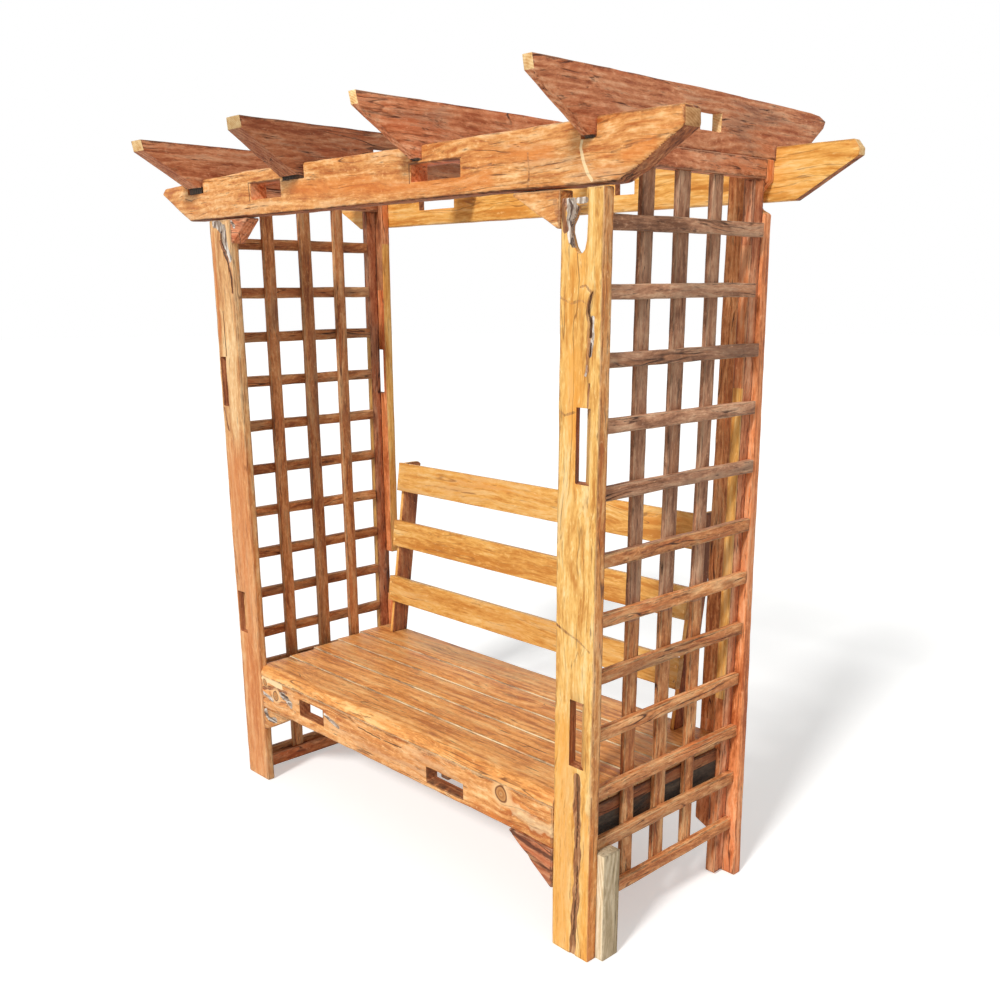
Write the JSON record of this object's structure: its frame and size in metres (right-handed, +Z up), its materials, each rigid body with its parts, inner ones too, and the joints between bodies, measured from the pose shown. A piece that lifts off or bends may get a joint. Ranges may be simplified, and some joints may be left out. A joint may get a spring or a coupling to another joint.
{
  "type": "garden arbour seat",
  "caption": "Free-standing garden arbour seat in reclaimed waney-edged timber: slatted bench with leaning back, lattice sides and open rafters on long bevelled beams.",
  "frame": {"origin": "on the ground, under the middle of the overall box", "axes": "+X along the beams towards the sitter's left-hand side, +Y from the front of the seat to its back, +Z up"},
  "size_m": [2.182, 1.114, 2.161],
  "materials": {
    "golden_teak": "oiled golden-brown hardwood, rough-sawn and planed, dark grain, bark pockets, knots and cracks",
    "seat_teak": "oiled honey-orange planed boards, long straight grain with brown streaks, rough end grain",
    "honey_teak": "light honey-coloured planed hardwood, fine grain, low sheen",
    "russet_teak": "reddish-brown weathered hardwood, coarse saw marks and long grain, pale end grain",
    "brown_teak": "mid to dark brown sawn battens, lighter arrises, matt",
    "plug_wood": "pale end-grain plugs, flush sanded",
    "pale_pine": "pale untreated softwood, matt"
  },
  "bodies": {
    "root": {"front_post_left": "golden_teak", "front_post_right": "golden_teak", "rear_post_left": "brown_teak", "rear_post_right": "honey_teak", "front_beam": "golden_teak", "rear_beam": "honey_teak", "rafter_1": "russet_teak", "rafter_2": "russet_teak", "rafter_3": "russet_teak", "rafter_4": "russet_teak", "top_rail_left": "russet_teak", "top_rail_right": "russet_teak", "brace_upper_left": "golden_teak", "brace_upper_right": "golden_teak", "brace_lower_left": "golden_teak", "brace_lower_right": "golden_teak", "apron": "golden_teak", "seat_board_1": "seat_teak", "seat_board_2": "seat_teak", "seat_board_3": "seat_teak", "seat_board_4": "seat_teak", "seat_board_5": "seat_teak", "seat_rail_left": "brown_teak", "seat_rail_right": "brown_teak", "seat_rail_rear": "brown_teak", "bearer_left": "brown_teak", "bearer_right": "brown_teak", "back_upright_left": "golden_teak", "back_upright_right": "golden_teak", "back_slat_top": "honey_teak", "back_slat_middle": "honey_teak", "back_slat_bottom": "honey_teak", "screw_plugs": "plug_wood", "batten_left_1": "brown_teak", "batten_left_2": "brown_teak", "batten_left_3": "brown_teak", "batten_left_4": "russet_teak", "batten_right_1": "brown_teak", "batten_right_2": "brown_teak", "batten_right_3": "brown_teak", "batten_right_4": "russet_teak", "lattice_slats_left": "brown_teak", "lattice_slats_right": "brown_teak", "bottom_rail_left": "russet_teak", "foot_block": "pale_pine"}
  },
  "joints": []
}
